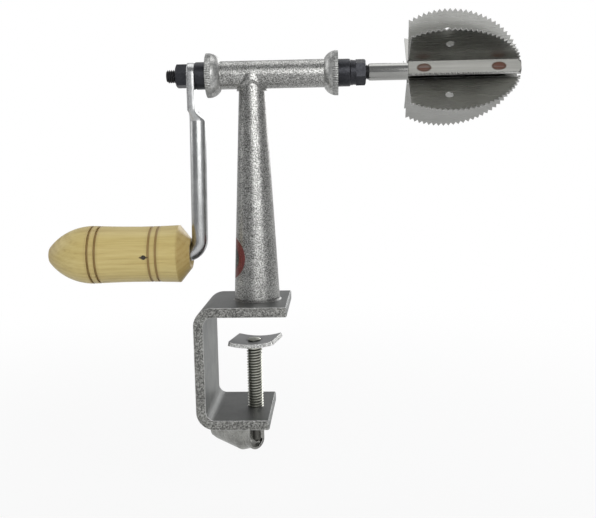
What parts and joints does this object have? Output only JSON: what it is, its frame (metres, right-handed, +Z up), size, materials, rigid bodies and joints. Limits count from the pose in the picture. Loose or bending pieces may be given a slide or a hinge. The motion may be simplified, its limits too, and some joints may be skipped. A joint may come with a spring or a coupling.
{
  "type": "hand crank coconut grater",
  "caption": "Table-clamped coconut grater: a toothed dome of folded blades on a ball-bearing spindle, turned by a crank with a turning wooden grip.",
  "frame": {"origin": "where the clamp screw's axis meets the underside of the upper clamp arm, the face that rests on the table top", "axes": "+X along the spindle from the crank to the cutter, +Y across the clamp strap away from the pictured side, +Z up along the post"},
  "size_m": [0.2952, 0.0712, 0.2775],
  "materials": {
    "strap_paint": "hammered silver-grey paint, duller on the broad faces",
    "hammer_paint": "hammered silver-grey paint with a fine speckle",
    "cup_steel": "pressed and brushed, satin",
    "bearing_steel": "hardened and polished",
    "cage_steel": "pressed strip",
    "black_oxide": "black oxide, dull",
    "axle_steel": "drawn bar, polished by turning",
    "crank_zinc": "bright zinc plate",
    "turned_wood": "pale close-grained wood, sanded, with burnt rings",
    "nail_steel": "plain wire nail",
    "blade_stainless": "cold-rolled stainless sheet",
    "screw_steel": "cut thread, lightly oiled",
    "pad_steel": "pressed plate with bright sheared edges",
    "lever_steel": "pressed plate, satin"
  },
  "bodies": {
    "stand": {"clamp_strap": "strap_paint", "tapered_post": "hammer_paint", "bearing_tube": "hammer_paint", "post_foot_weld": "hammer_paint", "post_head_weld": "hammer_paint", "cup_left": "cup_steel", "cup_right": "cup_steel", "dust_cap_left": "cup_steel", "dust_cap_right": "cup_steel"},
    "rotor": {"axle": "axle_steel", "cone_left": "black_oxide", "cone_right": "black_oxide", "key_washer": "black_oxide", "spring_washer": "black_oxide", "lock_nut": "black_oxide", "crank_arm": "crank_zinc", "crank_nut": "black_oxide", "blade_1": "blade_stainless", "blade_2": "blade_stainless", "blade_3": "blade_stainless", "blade_4": "blade_stainless"},
    "ball_ring_left": {"balls_left": "bearing_steel", "ball_cage_left": "cage_steel"},
    "ball_ring_right": {"balls_right": "bearing_steel", "ball_cage_right": "cage_steel"},
    "grip": {"wooden_grip": "turned_wood", "grip_nail": "nail_steel"},
    "pad": {"swivel_pad": "pad_steel"},
    "screw": {"clamp_screw": "screw_steel", "thumb_lever": "lever_steel", "lever_tacks": "lever_steel"}
  },
  "joints": [
    {"name": "crank_turn", "type": "hinge", "parent": "stand", "child": "rotor", "pos_m": [0, 0, 0.1462], "axis": [1, 0, 0], "continuous": true},
    {"name": "ball_ring_left_turn", "type": "hinge", "parent": "stand", "child": "ball_ring_left", "pos_m": [-0.0212, 0, 0.1462], "axis": [1, 0, 0], "continuous": true},
    {"name": "ball_ring_right_turn", "type": "hinge", "parent": "stand", "child": "ball_ring_right", "pos_m": [0.0525, 0, 0.1462], "axis": [1, 0, 0], "continuous": true},
    {"name": "grip_turn", "type": "hinge", "parent": "rotor", "child": "grip", "pos_m": [-0.0384, 0, 0.0358], "axis": [1, 0, 0], "continuous": true},
    {"name": "clamp_travel", "type": "slide", "parent": "stand", "child": "pad", "axis": [0, 0, 1], "range_m": [-0.04, 0.003]},
    {"name": "screw_turn", "type": "hinge", "parent": "pad", "child": "screw", "pos_m": [0, 0, -0.0705], "axis": [0, 0, 1], "range_deg": [-8001, 601]}
  ],
  "couplings": [
    {"joint": "ball_ring_left_turn", "follows": "crank_turn", "ratio": 0.4039},
    {"joint": "ball_ring_right_turn", "follows": "crank_turn", "ratio": 0.4039},
    {"joint": "screw_turn", "follows": "clamp_travel", "rad_per_m": 3490.7}
  ]
}
